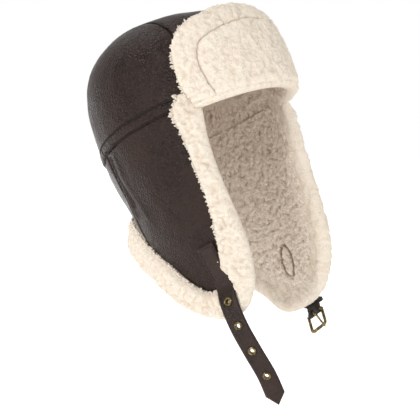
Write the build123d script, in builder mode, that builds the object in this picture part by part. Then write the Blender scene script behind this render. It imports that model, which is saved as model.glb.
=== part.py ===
"""Shearling trapper hat: panelled leather crown, turned-up front flap, two ear flaps,
chin strap with four eyelets on the wearer's right, buckle on the wearer's left.

Millimetres. +Z is up, the hat faces -Y, the wearer's right is -X. The hat sits tilted back
on the head, so the pieces are drawn in the hat's own planes (HAT, SIDE, FRONT) whose origin
is the middle of the seam between crown and band.
"""
from build123d import *
from math import cos, hypot, radians, sin
import os

TILT = 26.0                     # how far the hat leans back
CENTRE = (0, 2, 50)             # middle of the crown seam, from the head mount
BACK = (0, cos(radians(TILT)), -sin(radians(TILT)))
HAT = Plane(origin=CENTRE, x_dir=(1, 0, 0), z_dir=(0, sin(radians(TILT)), cos(radians(TILT))))
SIDE = Plane(origin=CENTRE, x_dir=BACK, z_dir=(1, 0, 0))                      # (back, up)
FRONT = Plane(origin=CENTRE, x_dir=(1, 0, 0), z_dir=tuple(-c for c in BACK))  # (left, up)
REACH = 140                     # longer than any cut through the hat

# Head form: height above the crown seam, half width, half length, centre's distance back
FORM = [(-225, 64, 79, -5), (-190, 71, 85, -5), (-150, 78, 91, -5), (-110, 84, 96, -4),
        (-60, 89.5, 100.5, -2.5), (-30, 92, 103.5, -1.5), (0, 93, 105.5, -1.5),
        (25, 94, 104.5, -2.5), (45, 92, 101.5, -2.5), (62, 86, 95, -2), (77, 75, 84, 0),
        (88, 59, 68.5, 2.5), (94, 42, 51, 5), (98, 21, 29, 7), (99.5, 6, 9, 8)]
LEATHER = 2.0                   # hide thickness
PILE = 6.5                      # lining fleece
GAP = 0.2                       # between hide and lining, and between sewn pieces
BAND_DEPTH = 10.0               # leather strip under the crown seam
BROW = -13.0                    # lower edge of the forehead lining

# Ear flap and nape in side view: (back, up)
LEATHER_EDGE = [(-39, 4), (-39, -12), (-38, -40), (-37, -72), (-34, -107), (-27, -140), (-16, -168),
                (-1, -180), (15, -171), (40, -139), (60, -114), (80, -92), (115, -79)]
TRIM_EDGE = [(-69, -4), (-67, -16), (-63, -50), (-60, -90), (-58, -128), (-53, -160), (-45, -187),
             (-28, -202), (-5, -205), (20, -196), (46, -176), (70, -150), (88, -130), (115, -118)]
FOLD = [(-72, -15.5), (88, -130)]    # the line the ear flaps fold on
FOLD_GAP = 0.8
NAPE_SEAM = 60.0                # where the nape panel meets the side panels
TRIM_OUT, TRIM_IN = 9.0, -9.0   # the trim's fleece stands this far out and in
NAPE_OUT = 14.0                 # it is fuller across the nape

# Front flap
FLAP_IN, FLAP_OUT = 1.2, 10.0
FLAP_CORNER = (-78, -56)        # plan position of its near end on the crown
BORDER = 22.0                   # width of the sewn border

# Chin strap, eyelets, tab and buckle
STRAP_W, STRAP_T = 19.0, 2.4
EYELET_FLANGE, EYELET_BARREL, EYELET_HOLE = 8.0, 5.0, 4.2
TAB_W, TAB_T, LOOP_R = 18.5, 4.0, 3.3
KEEPER_SPACE, KEEPER_WALL, KEEPER_H = 3.0, 1.4, 5.0
KEEPER_SLACK = 0.5              # round the tab inside its keeper
BAR_R, BAR_CLEAR = 1.4, 0.08
BUCKLE_W, BUCKLE_H, BUCKLE_RIM, BUCKLE_T = 25.4, 20.0, 2.8, 2.6
PRONG_R, PRONG_LIFT = 1.05, 24.0

# Stations down the strap and the tab: left, back, up (from the crown seam), turn to the front
STRAP_SEWN = [(-81.6, -14.5, -137, 5), (-78.4, -14.5, -155, 5), (-75.3, -15, -172, 6)]
STRAP_END = (-75.0, -15.1, -175.6, 6.5)      # where the sewn end stops and the strap swings
STRAP = [(-75.2, -15.2, -176.2, 7), (-79.6, -16, -194, 10), (-79.0, -16.3, -218, 12),
         (-72.5, -16.1, -243.5, 14), (-63.5, -15, -269, 16), (-53, -9, -298, 18)]
EYELETS = (1, 2, 3, 4)                       # stations that carry an eyelet
TAB_SEWN = [(81.2, 2, -145, -3), (77.8, 2, -165, -3), (75.0, 2, -180, -2)]
TAB_END = (74.5, 1.9, -184, -1)
TAB = [(74.4, 1.9, -184.7, 0), (74.4, 1.85, -187, 1), (79.8, 1.2, -200, 8), (79.4, 0.6, -212, 12),
       (75.6, -0.6, -223, 15)]
KEEPER_STATION = 3

os.makedirs("parts", exist_ok=True)


def save(builder, name):
    """Label a finished piece and write it out."""
    builder.part.label = name
    export_step(builder.part, f"parts/{name}.step")


def grown(t):
    """The form's sections moved t mm along the wall's normal."""
    rows = []
    for i, (h, half, length, centre) in enumerate(FORM):
        low, high = FORM[max(i - 1, 0)], FORM[min(i + 1, len(FORM) - 1)]
        rise, drop = high[0] - low[0], (low[1] + low[2] - high[1] - high[2]) / 2
        n = hypot(rise, drop)
        rows.append((h + t * drop / n, half + t * rise / n, length + t * rise / n, centre))
    return rows


def form(t):
    """Solid head form grown by t mm."""
    with BuildPart() as body:
        for h, half, length, centre in grown(t):
            with BuildSketch(HAT.offset(h)):
                with Locations((0, centre)):
                    Ellipse(half, length)
        loft()
    return body.part


def shell(outer, inner):
    """The wall between two grown forms."""
    with BuildPart() as wall:
        add(form(outer))
        add(form(inner), mode=Mode.SUBTRACT)
    return wall.part


def keep_between(low, high):
    """Cut the current part down to a band of heights."""
    with BuildSketch(HAT.offset(low)) as slab:
        Rectangle(4 * REACH, 4 * REACH)
    extrude(slab.sketch, amount=high - low, mode=Mode.INTERSECT)


def side_cut(outline, both, mode=Mode.INTERSECT):
    """Cut the current part with a side-view sketch, on the right side only or on both."""
    extrude(outline.sketch, amount=REACH if both else -REACH, both=both, mode=mode)


def side_profile(points, both):
    """Keep what lies inside a side-view polygon."""
    with BuildSketch(SIDE) as outline:
        with BuildLine():
            Polyline(*points, close=True)
        make_face()
    side_cut(outline, both)


def edge_profile(edge, both, mode=Mode.INTERSECT):
    """Keep or remove what lies above a curved edge."""
    with BuildSketch(SIDE) as outline:
        with BuildLine():
            curve = Spline(*edge)
            Polyline(curve @ 1, (edge[-1][0], 60), (edge[0][0], 60), curve @ 0)
        make_face()
    side_cut(outline, both, mode)


def fold_side(below):
    """Side-view polygon on one side of the fold line, held back from it by half the gap."""
    (s0, h0), (s1, h1) = FOLD
    rise = (h0 - h1) / (s1 - s0)
    h0, h1 = (h + (-FOLD_GAP if below else FOLD_GAP) / 2 for h in (h0, h1))
    far = -2 * REACH if below else REACH
    return [(s0 - 40, h0 + 40 * rise), (s1 + 40, h1 - 40 * rise), (s1 + 40, far), (s0 - 40, far)]


def wall_piece(name, outer, inner, below, s_range=(-REACH, REACH), edge=LEATHER_EDGE, hole=None,
               both=False, top=-BAND_DEPTH):
    """One layer of an ear flap, side or nape, trimmed to its outline."""
    with BuildPart() as piece:
        add(shell(outer, inner))
        keep_between(-220, top - GAP / 2)
        if s_range != (-REACH, REACH):
            side_profile([(s_range[0], 20), (s_range[1], 20), (s_range[1], -222), (s_range[0], -222)], both)
        edge_profile(edge, both)
        if hole:
            edge_profile(hole, both, Mode.SUBTRACT)
        side_profile(fold_side(below), both)
    save(piece, name)
    return piece.part


def save_mirrored(part, name):
    """The left twin of a right-hand piece."""
    with BuildPart() as twin:
        add(mirror(part, about=Plane.YZ, mode=Mode.PRIVATE))
    save(twin, name)


# ---------------------------------------------------------------- crown
SEAM_LINE = [(-84, -130), (-78, -80), (-68, -56), (-53, -25), (-46, 10), (-42, 50), (-38, 85), (-35, 130)]


def crown_panel(name, centre):
    """Side panel on the right, or the centre panel between both seams."""
    shift = GAP / 2 if centre else -GAP / 2
    inner_x = 0 if centre else -REACH
    with BuildPart() as panel:
        add(shell(0, -LEATHER))
        keep_between(GAP / 2, 130)
        with BuildSketch(HAT) as plan:
            with BuildLine():
                seam = Spline(*[(x + shift, s) for x, s in SEAM_LINE])
                Polyline(seam @ 1, (inner_x, 130), (inner_x, -130), seam @ 0)
            make_face()
            if centre:
                mirror(about=Plane.YZ)
        extrude(amount=130, mode=Mode.INTERSECT)
    save(panel, name)
    return panel.part


save_mirrored(crown_panel("crown_right_panel", False), "crown_left_panel")
crown_panel("crown_centre_panel", True)

with BuildPart() as crown_lining:
    add(shell(-LEATHER - GAP, -LEATHER - PILE))
    keep_between(BROW, 130)
save(crown_lining, "crown_lining")

with BuildPart() as hat_band:
    add(shell(0.6, -LEATHER))
    keep_between(-BAND_DEPTH, 0)
save(hat_band, "hat_band")

# ---------------------------------------------------------------- straps: helpers
def point(left, back, up):
    """World position of a point given in the hat's own directions."""
    return HAT.from_local_coords(Vector(left, back, up))


def station(stations, i):
    """Plane across a strap: x to the back, z down along the strap."""
    left, back, up, turn = stations[i]
    before, after = stations[max(i - 1, 0)], stations[min(i + 1, len(stations) - 1)]
    down = (point(*after[:3]) - point(*before[:3])).normalized()
    side = 1 if left > 0 else -1
    across = HAT.from_local_coords(Vector(side * sin(radians(turn)), cos(radians(turn)), 0)) - HAT.origin
    across = across - down * across.dot(down)
    return Plane(origin=point(left, back, up), x_dir=across, z_dir=down)


def ribbon(stations, width, thick, shift=0.0):
    """Leather strap lofted through its stations; shift moves the section off the centre line."""
    with BuildPart() as strip:
        for i in range(len(stations)):
            with BuildSketch(station(stations, i)):
                with Locations((0, shift)):
                    Rectangle(width, thick)
        loft()
    return strip.part


def press(stations, width, thick, side):
    """The channel a strap presses into the fleece trim, open to the outside."""
    floor = [(left - side * (thick / 2 + 2.6), up) for left, _, up, _ in stations]
    with BuildPart() as channel:
        with BuildSketch(FRONT.offset(-stations[1][1])):
            with BuildLine():
                Polyline(*floor, (side * REACH, floor[-1][1]), (side * REACH, floor[0][1]), close=True)
            make_face()
        extrude(amount=width / 2 + 2, both=True)
    return channel.part


# ---------------------------------------------------------------- sides, nape and ear flaps
LINING = (-LEATHER - GAP, -LEATHER - PILE)
TRIM = dict(edge=TRIM_EDGE, hole=LEATHER_EDGE)

side = wall_piece("right_side_leather", 0, -LEATHER, False, (-REACH, NAPE_SEAM - GAP / 2))
save_mirrored(side, "left_side_leather")
wall_piece("nape_leather", 0, -LEATHER, False, (NAPE_SEAM + GAP / 2, REACH), both=True)
wall_piece("neck_lining", *LINING, False, both=True, top=BROW)
wall_piece("nape_trim", NAPE_OUT, TRIM_IN, False, (0, REACH), both=True, **TRIM)

temple = wall_piece("right_temple_trim", 0, TRIM_IN, False, (-REACH, 0), top=BROW, **TRIM)
save_mirrored(temple, "left_temple_trim")
save_mirrored(wall_piece("right_flap_leather", 0, -LEATHER, True), "left_flap_leather")
save_mirrored(wall_piece("right_flap_lining", *LINING, True), "left_flap_lining")
flap_trim = wall_piece("right_flap_trim", TRIM_OUT, TRIM_IN, True, **TRIM)

for name, channel in (("right_flap_trim", press(STRAP_SEWN + STRAP[:3], STRAP_W, STRAP_T, -1)),
                      ("left_flap_trim", press(TAB_SEWN + TAB, TAB_W, TAB_T, 1))):
    flip = name.startswith("left")
    with BuildPart() as trim:
        add(mirror(flap_trim, about=Plane.YZ, mode=Mode.PRIVATE) if flip else flap_trim)
        add(channel, mode=Mode.SUBTRACT)
    save(trim, name)


# ---------------------------------------------------------------- front flap
def flap_outline(i, mode=Mode.ADD):
    """Front-view outline of the turned-up flap, i mm in from its edge and open at the fold."""
    with BuildLine() as outline:
        top = Spline((-88 + i, -17), (-92 + i, 10), (-89 + i, 38), (-74 + 0.7 * i, 61 - 0.7 * i),
                     (-40, 75 - i), (0, 78 - i), (40, 75 - i), (74 - 0.7 * i, 61 - 0.7 * i),
                     (89 - i, 38), (92 - i, 10), (88 - i, -17))
        ThreePointArc(top @ 1, (0, BROW - 1), top @ 0)
    make_face(outline.edges(), mode=mode)


def flap_piece(name, outer, inner, inset, hole=None):
    """One layer of the front flap, cut square to the crown at both ends."""
    x, s = FLAP_CORNER
    with BuildPart() as piece:
        add(shell(outer, inner))
        with BuildSketch(HAT.offset(-60)):
            with BuildLine():
                Polyline((x + 9, s + 6), (-125, s - 25.5), (-125, -REACH), (125, -REACH),
                         (125, s - 25.5), (-x - 9, s + 6), close=True)
            make_face()
        extrude(amount=200, mode=Mode.INTERSECT)
        with BuildSketch(FRONT):
            flap_outline(inset)
            if hole:
                flap_outline(hole, Mode.SUBTRACT)
        extrude(amount=REACH, mode=Mode.INTERSECT)
    save(piece, name)


flap_piece("front_flap_leather", FLAP_IN + LEATHER, FLAP_IN, 2)
flap_piece("front_flap_panel", FLAP_OUT, FLAP_IN + LEATHER + GAP, BORDER)
flap_piece("front_flap_border", FLAP_OUT, FLAP_IN + LEATHER + GAP, 0, hole=BORDER)


# ---------------------------------------------------------------- chin strap and eyelets
with BuildPart() as strap_sewn_end:
    add(ribbon(STRAP_SEWN + [STRAP_END], STRAP_W, STRAP_T))
save(strap_sewn_end, "strap_sewn_end")

with BuildPart() as chin_strap:
    add(ribbon(STRAP, STRAP_W, STRAP_T))
    tip_back, tip_up = STRAP[-1][1:3]
    with BuildSketch(SIDE):
        with BuildLine():
            Polyline((tip_back, tip_up), (tip_back + 20, tip_up + 25), (tip_back + 20, tip_up - 20),
                     (tip_back - 20, tip_up - 20), (tip_back - 20, tip_up + 25), close=True)
        make_face()
    extrude(amount=-REACH, mode=Mode.SUBTRACT)
    for i in EYELETS:
        across = station(STRAP, i)
        with BuildSketch(Plane(origin=across.origin, x_dir=across.x_dir, z_dir=across.y_dir)):
            Circle(EYELET_BARREL / 2 + 0.05)
        extrude(amount=10, both=True, mode=Mode.SUBTRACT)
save(chin_strap, "chin_strap")


def eyelet(face, outer):
    """Flanged brass ring, or its washer at the back; face looks away from the strap's middle."""
    half = STRAP_T / 2 + 0.05
    with Locations(face):
        if outer:
            Cylinder(EYELET_BARREL / 2, 2 * half + 1.4)
            with Locations((0, 0, half + 0.6)):
                Cylinder(EYELET_FLANGE / 2, 0.9)
            Cylinder(EYELET_HOLE / 2, 8, mode=Mode.SUBTRACT)
        else:
            with Locations((0, 0, -half - 0.55)):
                Cylinder(EYELET_FLANGE / 2, 0.6)
                Cylinder(EYELET_BARREL / 2 + 0.05, 1, mode=Mode.SUBTRACT)


def eyelet_face(i):
    """Plane at an eyelet, z out of the strap on the wearer's outside."""
    across = station(STRAP, i)
    return Plane(origin=across.origin, x_dir=across.x_dir, z_dir=-across.y_dir)


for name, outer in (("strap_eyelets", True), ("eyelet_washers", False)):
    with BuildPart() as rings:
        for i in EYELETS:
            eyelet(eyelet_face(i), outer)
    if outer:
        fillet(rings.edges().filter_by(GeomType.CIRCLE).group_by(lambda e: e.radius)[-1], 0.35)
    save(rings, name)

# ---------------------------------------------------------------- buckle tab, keeper and buckle
bar = station(TAB, len(TAB) - 1)
BUCKLE = Plane(origin=bar.origin, x_dir=bar.x_dir, z_dir=bar.y_dir)      # z outward, y up the tab
BAR_AXIS = Plane(origin=bar.origin, x_dir=bar.y_dir, z_dir=bar.x_dir)

with BuildPart() as tab_sewn_end:
    add(ribbon(TAB_SEWN + [TAB_END], TAB_W, TAB_T))
save(tab_sewn_end, "tab_sewn_end")

with BuildPart() as buckle_tab:
    add(ribbon(TAB, TAB_W, TAB_T))
    with BuildSketch(BAR_AXIS):
        Circle(LOOP_R)
    extrude(amount=TAB_W / 2, both=True)
    with BuildSketch(BAR_AXIS):
        Circle(BAR_R + BAR_CLEAR)
    extrude(amount=TAB_W, both=True, mode=Mode.SUBTRACT)
    with BuildSketch(BUCKLE):
        with Locations((0, 0.5)):
            Rectangle(4.4, 10)
    extrude(amount=8, both=True, mode=Mode.SUBTRACT)
save(buckle_tab, "buckle_tab")

with BuildPart() as keeper_loop:
    inner_x, inner_y = TAB_W + 2 * KEEPER_SLACK, TAB_T + KEEPER_SPACE + 2 * KEEPER_SLACK
    with BuildSketch(station(TAB, KEEPER_STATION)):
        with Locations((0, KEEPER_SPACE / 2)):
            RectangleRounded(inner_x + 2 * KEEPER_WALL, inner_y + 2 * KEEPER_WALL, 1.2)
            Rectangle(inner_x, inner_y, mode=Mode.SUBTRACT)
    extrude(amount=KEEPER_H / 2, both=True)
save(keeper_loop, "keeper_loop")

with BuildPart() as buckle_frame:
    with BuildSketch(BUCKLE):
        with Locations((0, 1.7 - BUCKLE_H / 2)):
            RectangleRounded(BUCKLE_W, BUCKLE_H, 3.5)
        with Locations((0, 5)):
            Rectangle(BUCKLE_W - 2 * BUCKLE_RIM, 2 * (BUCKLE_H - BUCKLE_RIM + 3.3), mode=Mode.SUBTRACT)
    extrude(amount=BUCKLE_T / 2, both=True)
    with BuildSketch(BAR_AXIS):
        Circle(BAR_R)
    extrude(amount=BUCKLE_W / 2 - 1, both=True)
save(buckle_frame, "buckle_frame")

lift = radians(PRONG_LIFT)
along = BUCKLE.z_dir * sin(lift) - BUCKLE.y_dir * cos(lift)
with BuildPart() as buckle_prong:
    with BuildSketch(BAR_AXIS):
        Circle(BAR_R + BAR_CLEAR + 1.1)
    extrude(amount=1.7, both=True)
    with BuildSketch(Plane(origin=BUCKLE.origin, x_dir=BUCKLE.x_dir, z_dir=along).offset(1.6)):
        Circle(PRONG_R)
    extrude(amount=15.6)
    fillet(buckle_prong.edges().filter_by(GeomType.CIRCLE).sort_by(Axis.Z)[0], 0.6)
    with BuildSketch(BAR_AXIS):
        Circle(BAR_R + BAR_CLEAR)
    extrude(amount=5, both=True, mode=Mode.SUBTRACT)
save(buckle_prong, "buckle_prong")
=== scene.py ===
"""The looks of the shearling trapper hat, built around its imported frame.

Soft pieces are drawn in millimetres on the same head form as the frame: a place on the hat is
(round, rise), the length round the head from the wearer's right ear towards the back and the
length up the wall from the crown seam. Left-hand pieces use the same numbers, mirrored.
"""
from math import cos, pi, radians, sin, sqrt

import bpy
import numpy as np
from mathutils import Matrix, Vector
from mathutils.geometry import delaunay_2d_cdt

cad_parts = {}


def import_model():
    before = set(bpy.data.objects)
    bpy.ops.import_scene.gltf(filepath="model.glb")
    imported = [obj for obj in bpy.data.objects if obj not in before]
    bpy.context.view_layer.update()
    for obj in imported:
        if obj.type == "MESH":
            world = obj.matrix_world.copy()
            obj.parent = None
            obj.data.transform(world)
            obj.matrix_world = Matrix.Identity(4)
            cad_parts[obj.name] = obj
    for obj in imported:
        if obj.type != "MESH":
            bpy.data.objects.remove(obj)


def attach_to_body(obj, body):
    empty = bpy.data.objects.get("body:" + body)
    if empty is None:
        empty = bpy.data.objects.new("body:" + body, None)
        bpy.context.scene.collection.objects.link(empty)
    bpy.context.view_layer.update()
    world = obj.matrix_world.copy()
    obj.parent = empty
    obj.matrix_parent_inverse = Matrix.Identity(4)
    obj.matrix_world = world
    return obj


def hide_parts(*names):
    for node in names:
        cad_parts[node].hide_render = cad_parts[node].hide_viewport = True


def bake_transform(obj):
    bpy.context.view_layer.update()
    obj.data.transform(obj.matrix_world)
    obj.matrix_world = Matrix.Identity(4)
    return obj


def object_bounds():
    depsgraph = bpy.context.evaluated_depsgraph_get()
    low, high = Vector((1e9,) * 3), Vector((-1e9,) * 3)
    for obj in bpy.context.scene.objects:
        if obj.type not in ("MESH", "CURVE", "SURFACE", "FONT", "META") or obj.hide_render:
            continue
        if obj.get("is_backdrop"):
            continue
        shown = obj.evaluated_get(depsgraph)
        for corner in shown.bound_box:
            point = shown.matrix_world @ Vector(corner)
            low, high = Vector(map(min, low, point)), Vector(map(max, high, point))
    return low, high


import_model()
cad_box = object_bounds()

MM = 0.001
TILT = radians(26)
CENTRE = np.array([0, 2, 50.0])              # middle of the crown seam
LEFT = np.array([1.0, 0, 0])
BACK = np.array([0, cos(TILT), -sin(TILT)])
UP = np.array([0, sin(TILT), cos(TILT)])
RIGHT_SIDE, LEFT_SIDE = -1, 1

# Head form: height above the crown seam, half width, half length, centre's distance back
FORM = np.array([
    (-225, 64, 79, -5), (-190, 71, 85, -5), (-150, 78, 91, -5), (-110, 84, 96, -4), (-60, 89.5, 100.5, -2.5),
    (-30, 92, 103.5, -1.5), (0, 93, 105.5, -1.5), (25, 94, 104.5, -2.5), (45, 92, 101.5, -2.5),
    (62, 86, 95, -2), (77, 75, 84, 0), (88, 59, 68.5, 2.5), (94, 42, 51, 5), (98, 21, 29, 7),
    (99.5, 6, 9, 8), (99.6, 0.4, 0.6, 8)], float)
ROUND = 98.0                                 # mm round the head per radian
LEATHER, LINING_FACE = 2.0, -8.5              # leather's thickness, level of the lining's inner face
BAND_DEPTH = 10.0


# ---------- curves and noise
def hermite(knots, values, at):
    """Smooth curve through values at knots, read at the places in at."""
    slopes = np.gradient(values, knots, axis=0)
    i = np.clip(np.searchsorted(knots, at) - 1, 0, len(knots) - 2)
    step = (knots[i + 1] - knots[i])[:, None]
    t = (at - knots[i])[:, None] / step
    return ((2 * t**3 - 3 * t**2 + 1) * values[i] + (t**3 - 2 * t**2 + t) * step * slopes[i]
            + (3 * t**2 - 2 * t**3) * values[i + 1] + (t**3 - t**2) * step * slopes[i + 1])


def lengths(points):
    """Length along a line of points, from its start to each point."""
    return np.r_[0, np.cumsum(np.linalg.norm(np.diff(points, axis=0), axis=1))]


def unit(vectors):
    return vectors / np.linalg.norm(vectors, axis=-1, keepdims=True)


def curve(points, step):
    """Smooth line through points, as points about step apart."""
    points = np.array(points, float)
    if len(points) == 2:
        count = max(2, int(round(np.linalg.norm(points[1] - points[0]) / step)) + 1)
        return points[0] + np.linspace(0, 1, count)[:, None] * (points[1] - points[0])
    along = lengths(points)
    count = max(3, int(round(along[-1] / step)) + 1)
    return hermite(along, points, np.linspace(0, along[-1], count))


def smoothstep(low, high, x):
    t = np.clip((x - low) / (high - low), 0, 1)
    return t * t * (3 - 2 * t)


def hashed(cell, seed):
    """A fixed pseudo-random number from 0 to 1 for each cell of a grid."""
    cell = cell.astype(np.int64)
    n = cell[..., 0] * 73856093 ^ cell[..., 1] * 19349663 ^ cell[..., 2] * 83492791 ^ seed * 2654435761
    n = (n ^ (n >> 13)) * 1274126177 & 0x7FFFFFFF
    n = (n ^ (n >> 15)) * 1103515245 & 0x7FFFFFFF
    return n / 0x7FFFFFFF


def swell(points, size, seed):
    """Soft noise from -1 to 1 with features about size mm wide."""
    p = points / size
    base = np.floor(p)
    f = p - base
    f = f * f * (3 - 2 * f)
    total = np.zeros(len(p))
    for corner in np.ndindex(2, 2, 2):
        share = np.prod(np.where(corner, f, 1 - f), axis=1)
        total += share * hashed(base + corner, seed)
    return 2 * total - 1


def curls(points, size, seed):
    """Rounded lumps about size mm wide: 1 on a lump's top, near 0 in the soft creases between lumps."""
    warp = np.stack([swell(points, size * 1.3, seed + i) for i in range(3)], axis=1)
    p = (points + 0.38 * size * warp) / size
    base = np.floor(p)
    total = np.zeros(len(p))
    for step in np.ndindex(3, 3, 3):
        cell = base + np.array(step) - 1
        spot = cell + np.stack([hashed(cell, seed + 11 + i) for i in range(3)], axis=1)
        total += np.exp(-10 * ((p - spot) ** 2).sum(axis=1))
    return np.clip(1.25 + np.log(total + 1e-6) / 5, 0, 1.1)


def stretched(points, along, ratio):
    """Points squeezed along a direction, so that noise read there comes out longer that way."""
    return points + (ratio - 1) * (points @ along)[:, None] * along


# ---------- the head form
MEAN = (FORM[:, 1] + FORM[:, 2]) / 2
RISE = lengths(np.c_[FORM[:, 0], MEAN])
RISE = RISE - RISE[list(FORM[:, 0]).index(0)]
CROWN_RISE = RISE[-1]                        # from the crown seam up the wall to the top of the crown


def rise_at(height):
    """Rise of a height above the crown seam."""
    return np.interp(height, FORM[:, 0], RISE)


def world(x, s, h):
    """Points left, back and up of the crown seam's middle, in the row frame, in mm."""
    x, s, h = np.broadcast_arrays(np.asarray(x, float), s, h)
    return CENTRE + x[..., None] * LEFT + s[..., None] * BACK + h[..., None] * UP


def head_form(angle, rise, out):
    """Points out mm from the form; angle 0 is the right ear and 90 degrees the back."""
    h, half, length, centre = hermite(RISE, FORM, rise).T
    dh, dhalf, dlength, dcentre = (hermite(RISE, FORM, rise + 0.5) - hermite(RISE, FORM, rise - 0.5)).T
    c, s = np.cos(angle), np.sin(angle)
    half, length = np.maximum(half, 0.3), np.maximum(length, 0.4)
    along = np.stack([half * s, length * c, 0 * c], axis=1)
    rising = np.stack([-dhalf * c, dcentre + dlength * s, dh], axis=1)
    normal = unit(np.cross(rising, along))
    local = np.stack([-half * c, centre + length * s, h], axis=1) + np.asarray(out)[:, None] * normal
    return world(*local.T)


def wall(side):
    """Surface of the hat's wall in (round, rise), on the wearer's right or left."""
    def surface(p, out):
        angle = p[:, 0] / ROUND
        return head_form(angle if side == RIGHT_SIDE else pi - angle, p[:, 1], out)
    return surface


# Dents and swellings of the crown: place, height and reach in mm
CROWN_SHAPE = [((-45, 5, 92), 1.4, 26), ((-10, -58, 92), -4.5, 32), ((-75, 60, 40), -0.7, 45)]


def pushed(points, dents):
    """How far dents and swellings, each (place, height, reach), push points out."""
    return sum(height * np.exp(-((points - world(*spot)) ** 2).sum(axis=1) / reach**2)
               for spot, height, reach in dents)


def dome(p, out):
    """Surface of the crown in a flat disc, whose radius is the length from the crown's top."""
    angle, rise = np.arctan2(p[:, 1], -p[:, 0]), CROWN_RISE - np.linalg.norm(p, axis=1)
    base = head_form(angle, rise, np.zeros(len(p)))
    return head_form(angle, rise, np.asarray(out) + pushed(base, CROWN_SHAPE))


def side_view(points):
    """(back, up) points seen from the side, as (round, rise)."""
    back, up = np.array(points, float).T
    _, _, length, centre = hermite(RISE, FORM, rise_at(up)).T
    share = np.clip((back - centre) / length, -0.999, 0.999)
    return np.c_[ROUND * np.arcsin(share), rise_at(up)]


# ---------- meshes
def nearest_on(lines, p):
    """Distance from each point to the nearest of some line segments, and the nearest point."""
    best = np.full(len(p), 1e9)
    spot = np.zeros_like(p)
    for a, b in lines:
        ab = b - a
        t = np.clip(((p - a) @ ab) / max(ab @ ab, 1e-12), 0, 1)
        q = a + t[:, None] * ab
        d = np.linalg.norm(p - q, axis=1)
        closer = d < best
        best = np.where(closer, d, best)
        spot[closer] = q[closer]
    return best, spot


def segments(line):
    return list(zip(line[:-1], line[1:]))


def inside(polygon, p):
    """Which points lie inside a closed polygon."""
    found = np.zeros(len(p), bool)
    for (x1, y1), (x2, y2) in zip(polygon, np.roll(polygon, -1, axis=0)):
        spans = (y1 > p[:, 1]) != (y2 > p[:, 1])
        if y1 != y2:
            found ^= spans & (p[:, 0] < x1 + (p[:, 1] - y1) * (x2 - x1) / (y2 - y1))
    return found


def filled(polygon, holes, spacing, seed):
    """Triangles that fill a polygon with holes, with points about spacing apart."""
    rings = [polygon, *holes]
    low, high = polygon.min(0), polygon.max(0)
    xs, ys = np.arange(low[0], high[0], spacing), np.arange(low[1], high[1], spacing * sqrt(3) / 2)
    grid = np.stack(np.meshgrid(xs, ys), axis=-1)
    grid[1::2, :, 0] += spacing / 2
    shake = np.random.default_rng(seed).uniform(-0.16, 0.16, (grid.size // 2, 2))
    grid = grid.reshape(-1, 2) + shake * spacing
    keep = inside(polygon, grid)
    for ring in rings:
        keep &= ~inside(ring, grid) if ring is not polygon else True
        near, _ = nearest_on(segments(np.vstack([ring, ring[:1]])), grid)
        keep &= near > 0.55 * spacing
    points = np.vstack([*rings, grid[keep]])
    edges, start = [], 0
    for ring in rings:
        n = len(ring)
        edges += [(start + i, start + (i + 1) % n) for i in range(n)]
        start += n
    coords, _, faces, *_ = delaunay_2d_cdt([Vector(p) for p in points], edges, [], 0, 1e-6)
    coords = np.array([tuple(c) for c in coords])
    faces = np.array(faces)
    middle = coords[faces].mean(axis=1)
    keep = inside(polygon, middle)
    for ring in holes:
        keep &= ~inside(ring, middle)
    return coords, faces[keep]


def rim_edges(faces):
    """Edges that belong to one triangle only, in its direction."""
    edges = np.vstack([faces[:, [0, 1]], faces[:, [1, 2]], faces[:, [2, 0]]])
    seen = {tuple(e) for e in edges}
    return [e for e in map(tuple, edges) if (e[1], e[0]) not in seen]


def make_object(name, points, faces, material, tips=None):
    """Smooth-shaded object from points in mm; tips is how far each stands out of the pile."""
    mesh = bpy.data.meshes.new(name)
    mesh.from_pydata((np.asarray(points) * MM).tolist(), [], [list(map(int, f)) for f in faces])
    mesh.polygons.foreach_set("use_smooth", [True] * len(mesh.polygons))
    if tips is not None:
        mesh.attributes.new("tip", "FLOAT", "POINT").data.foreach_set("value", np.asarray(tips, np.float32))
    mesh.materials.append(material)
    mesh.validate()
    mesh.update()
    thing = bpy.data.objects.new(name, mesh)
    bpy.context.scene.collection.objects.link(thing)
    return thing


def attach(thing, slot, body, *nodes):
    """Give a piece its body, and let it stand in for CAD nodes."""
    if nodes:
        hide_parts(*nodes)
    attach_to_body(thing, body)


def ring_faces(rings, count, closed=False):
    """Quads between neighbouring rings of points."""
    starts = [(i * count, (i + 1) % rings * count) for i in range(rings if closed else rings - 1)]
    sides = [(k, (k + 1) % count) for k in range(count)]
    return [(a + k, a + m, b + m, b + k) for a, b in starts for k, m in sides]


def around(points):
    """Direction along a closed ring at each of its points."""
    return np.roll(points, -1, axis=0) - np.roll(points, 1, axis=0)


def tube(points, side, up, wide, thick, count=12, closed=False, square=0.8):
    """Points and faces of a bar along points; side and up are the section's axes, square 1 an ellipse."""
    n = len(points)
    side, up = (np.broadcast_to(v, points.shape) for v in (side, up))
    wide, thick = np.broadcast_to(wide, n), np.broadcast_to(thick, n)
    at = np.arange(count) * 2 * pi / count
    across, over = (np.sign(f(at)) * np.abs(f(at)) ** square for f in (np.cos, np.sin))
    rings = (points[:, None] + side[:, None] * (wide[:, None] * across / 2)[..., None]
             + up[:, None] * (thick[:, None] * over / 2)[..., None])
    faces = ring_faces(n, count, closed)
    if not closed:
        faces += [tuple(range(count))[::-1], tuple((n - 1) * count + k for k in range(count))]
    return rings.reshape(-1, 3), faces


def joined(parts):
    """Several (points, faces) as one."""
    points, faces, start = [], [], 0
    for more, its_faces in parts:
        points.append(more)
        faces += [tuple(i + start for i in f) for f in its_faces]
        start += len(more)
    return np.vstack(points), faces


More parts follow.
